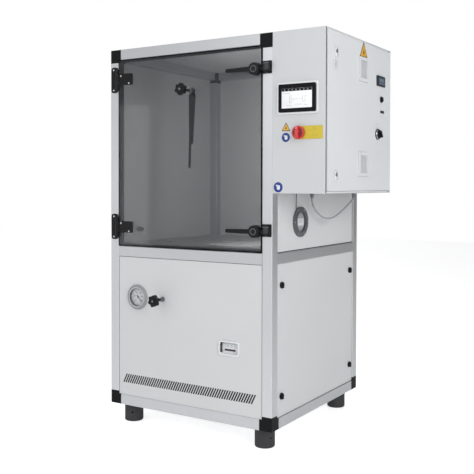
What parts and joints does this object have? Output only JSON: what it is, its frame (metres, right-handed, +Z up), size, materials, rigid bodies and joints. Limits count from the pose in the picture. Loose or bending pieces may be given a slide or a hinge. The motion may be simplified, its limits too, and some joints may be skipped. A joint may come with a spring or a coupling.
{
  "type": "dust test cabinet",
  "caption": "Profile-frame laboratory dust test cabinet with a smoked hinged door, inside wiper, perforated floor over a dust funnel and blower, and a side control box.",
  "frame": {"origin": "middle of the bounding box on the floor under the feet", "axes": "+Z up, front door faces -Y, control box on the +X side"},
  "size_m": [1.308, 1.085, 2],
  "materials": {
    "aluminium": "satin anodised profile",
    "cap_black": "moulded black plastic",
    "panel_white": "light grey powder coat",
    "box_paint": "light grey textured powder coat",
    "sheet_steel": "plain sheet",
    "stainless": "stainless sheet",
    "foot_rubber": "black damping foot",
    "seal_rubber": "black seal",
    "smoked_pane": "smoked acrylic",
    "lens": "clear",
    "fitting_black": "moulded black",
    "gauge_grey": "light grey flange",
    "pointer_black": "black",
    "valve_metal": "nickel plated",
    "recess_white": "light moulding",
    "port_metal": "turned ring",
    "plug_grey": "grey silicone",
    "duct_grey": "slotted duct",
    "device_grey": "device housings",
    "switch_yellow": "yellow plate",
    "switch_red": "red handle",
    "hmi_black": "black bezel",
    "gland_grey": "gland",
    "cable_grey": "grey sheath",
    "motor_paint": "machine blue",
    "cast_grey": "grey casting",
    "impeller_metal": "cast wheel",
    "controller_black": "instrument housing"
  },
  "bodies": {
    "cabinet": {"frame_posts": "aluminium", "frame_rails": "aluminium", "corner_connectors": "cap_black", "wall_panels": "panel_white", "base_plate": "sheet_steel", "service_panel": "panel_white", "dust_funnel": "stainless", "blower_housing": "cast_grey", "blower_motor": "motor_paint", "air_duct": "sheet_steel", "vacuum_pump": "motor_paint", "front_lower_panel": "panel_white", "door_seal": "seal_rubber", "hinge_post_leaves": "fitting_black", "latch_keepers": "fitting_black", "gauge_case": "gauge_grey", "gauge_lens": "lens", "valve_body": "valve_metal", "recess_box": "recess_white", "port_flange": "port_metal", "control_box_body": "box_paint", "mounting_plate": "sheet_steel", "wiring_ducts": "duct_grey", "switchgear": "device_grey", "main_switch_base": "switch_yellow", "touch_panel_frame": "sheet_steel", "touch_panel": "hmi_black", "cable_glands": "gland_grey", "sensor_cable": "cable_grey"},
    "chamber_door": {"door_pane": "smoked_pane", "door_hinge_leaves": "fitting_black", "latch_bases": "fitting_black", "wiper_bush": "valve_metal"},
    "upper_latch": {"latch_upper": "fitting_black"},
    "lower_latch": {"latch_lower": "fitting_black"},
    "wiper": {"wiper_knob": "fitting_black", "wiper_arm": "fitting_black", "wiper_blade": "seal_rubber"},
    "box_door": {"box_door": "box_paint", "vent_frames": "device_grey", "door_controller": "controller_black"},
    "push_button": {"push_button": "fitting_black"},
    "selector": {"selector_knob": "fitting_black"},
    "upper_lock": {"cam_lock_upper": "fitting_black"},
    "lower_lock": {"cam_lock_lower": "fitting_black"},
    "main_switch": {"main_switch_knob": "switch_red"},
    "gauge_pointer": {"gauge_pointer": "pointer_black"},
    "valve_knob": {"valve_knob": "fitting_black"},
    "port_plug": {"port_plug": "plug_grey"},
    "impeller": {"blower_impeller": "impeller_metal"},
    "grate": {"floor_grate": "stainless"},
    "fastener_1": {"service_fastener_1": "fitting_black"},
    "fastener_2": {"service_fastener_2": "fitting_black"},
    "fastener_3": {"service_fastener_3": "fitting_black"},
    "fastener_4": {"service_fastener_4": "fitting_black"},
    "foot_1": {"foot_1": "foot_rubber"},
    "foot_2": {"foot_2": "foot_rubber"},
    "foot_3": {"foot_3": "foot_rubber"},
    "foot_4": {"foot_4": "foot_rubber"}
  },
  "joints": [
    {"name": "chamber_door_hinge", "type": "hinge", "parent": "cabinet", "child": "chamber_door", "pos_m": [-0.603, -0.4695, 1.45], "axis": [0, 0, -1], "range_deg": [0, 110]},
    {"name": "upper_latch_turn", "type": "hinge", "parent": "chamber_door", "child": "upper_latch", "pos_m": [0.259, -0.4695, 1.831], "axis": [0, -1, 0], "range_deg": [0, 90]},
    {"name": "lower_latch_turn", "type": "hinge", "parent": "chamber_door", "child": "lower_latch", "pos_m": [0.259, -0.4695, 1.057], "axis": [0, 1, 0], "range_deg": [0, 90]},
    {"name": "wiper_turn", "type": "hinge", "parent": "chamber_door", "child": "wiper", "pos_m": [-0.137, -0.4575, 1.755], "axis": [0, 1, 0], "range_deg": [-100, 100]},
    {"name": "box_door_hinge", "type": "hinge", "parent": "cabinet", "child": "box_door", "pos_m": [0.62, 0.3355, 1.62], "axis": [0, 0, 1], "range_deg": [0, 110]},
    {"name": "push_button_press", "type": "slide", "parent": "box_door", "child": "push_button", "axis": [-1, 0, 0], "range_m": [0, 0.004], "stiffness_N_per_m": 400, "springref_m": -0.002},
    {"name": "selector_turn", "type": "hinge", "parent": "box_door", "child": "selector", "pos_m": [0.627, 0.1485, 1.544], "axis": [1, 0, 0], "range_deg": [-45, 45]},
    {"name": "upper_lock_turn", "type": "hinge", "parent": "box_door", "child": "upper_lock", "pos_m": [0.627, -0.3575, 1.9], "axis": [1, 0, 0], "range_deg": [0, 90]},
    {"name": "lower_lock_turn", "type": "hinge", "parent": "box_door", "child": "lower_lock", "pos_m": [0.627, -0.3575, 1.328], "axis": [1, 0, 0], "range_deg": [0, 90]},
    {"name": "main_switch_turn", "type": "hinge", "parent": "cabinet", "child": "main_switch", "pos_m": [0.489, -0.4575, 1.522], "axis": [0, 1, 0], "range_deg": [0, 90]},
    {"name": "gauge_pointer_turn", "type": "hinge", "parent": "cabinet", "child": "gauge_pointer", "pos_m": [-0.472, -0.4575, 0.685], "axis": [0, -1, 0], "range_deg": [0, 265]},
    {"name": "valve_turn", "type": "hinge", "parent": "cabinet", "child": "valve_knob", "pos_m": [-0.306, -0.4575, 0.686], "axis": [0, 1, 0], "range_deg": [0, 900]},
    {"name": "port_plug_pull", "type": "slide", "parent": "cabinet", "child": "port_plug", "axis": [1, 0, 0], "range_m": [0, 0.12]},
    {"name": "impeller_spin", "type": "hinge", "parent": "cabinet", "child": "impeller", "pos_m": [-0.154, 0.0425, 0.45], "axis": [0, 0, 1], "continuous": true},
    {"name": "grate_lift", "type": "slide", "parent": "cabinet", "child": "grate", "axis": [0, 0, 1], "range_m": [0, 0.3]},
    {"name": "fastener_1_turn", "type": "hinge", "parent": "cabinet", "child": "fastener_1", "pos_m": [0.346, -0.3555, 0.794], "axis": [1, 0, 0], "range_deg": [0, 90]},
    {"name": "fastener_2_turn", "type": "hinge", "parent": "cabinet", "child": "fastener_2", "pos_m": [0.346, 0.4485, 0.794], "axis": [1, 0, 0], "range_deg": [0, 90]},
    {"name": "fastener_3_turn", "type": "hinge", "parent": "cabinet", "child": "fastener_3", "pos_m": [0.346, 0.4485, 0.253], "axis": [1, 0, 0], "range_deg": [0, 90]},
    {"name": "fastener_4_turn", "type": "hinge", "parent": "cabinet", "child": "fastener_4", "pos_m": [0.346, -0.3555, 0.253], "axis": [1, 0, 0], "range_deg": [0, 90]},
    {"name": "foot_1_turn", "type": "hinge", "parent": "cabinet", "child": "foot_1", "pos_m": [-0.566, -0.3695, 0.05], "axis": [0, 0, 1], "continuous": true},
    {"name": "foot_2_turn", "type": "hinge", "parent": "cabinet", "child": "foot_2", "pos_m": [0.258, -0.3695, 0.05], "axis": [0, 0, 1], "continuous": true},
    {"name": "foot_3_turn", "type": "hinge", "parent": "cabinet", "child": "foot_3", "pos_m": [0.258, 0.4545, 0.05], "axis": [0, 0, 1], "continuous": true},
    {"name": "foot_4_turn", "type": "hinge", "parent": "cabinet", "child": "foot_4", "pos_m": [-0.566, 0.4545, 0.05], "axis": [0, 0, 1], "continuous": true}
  ]
}
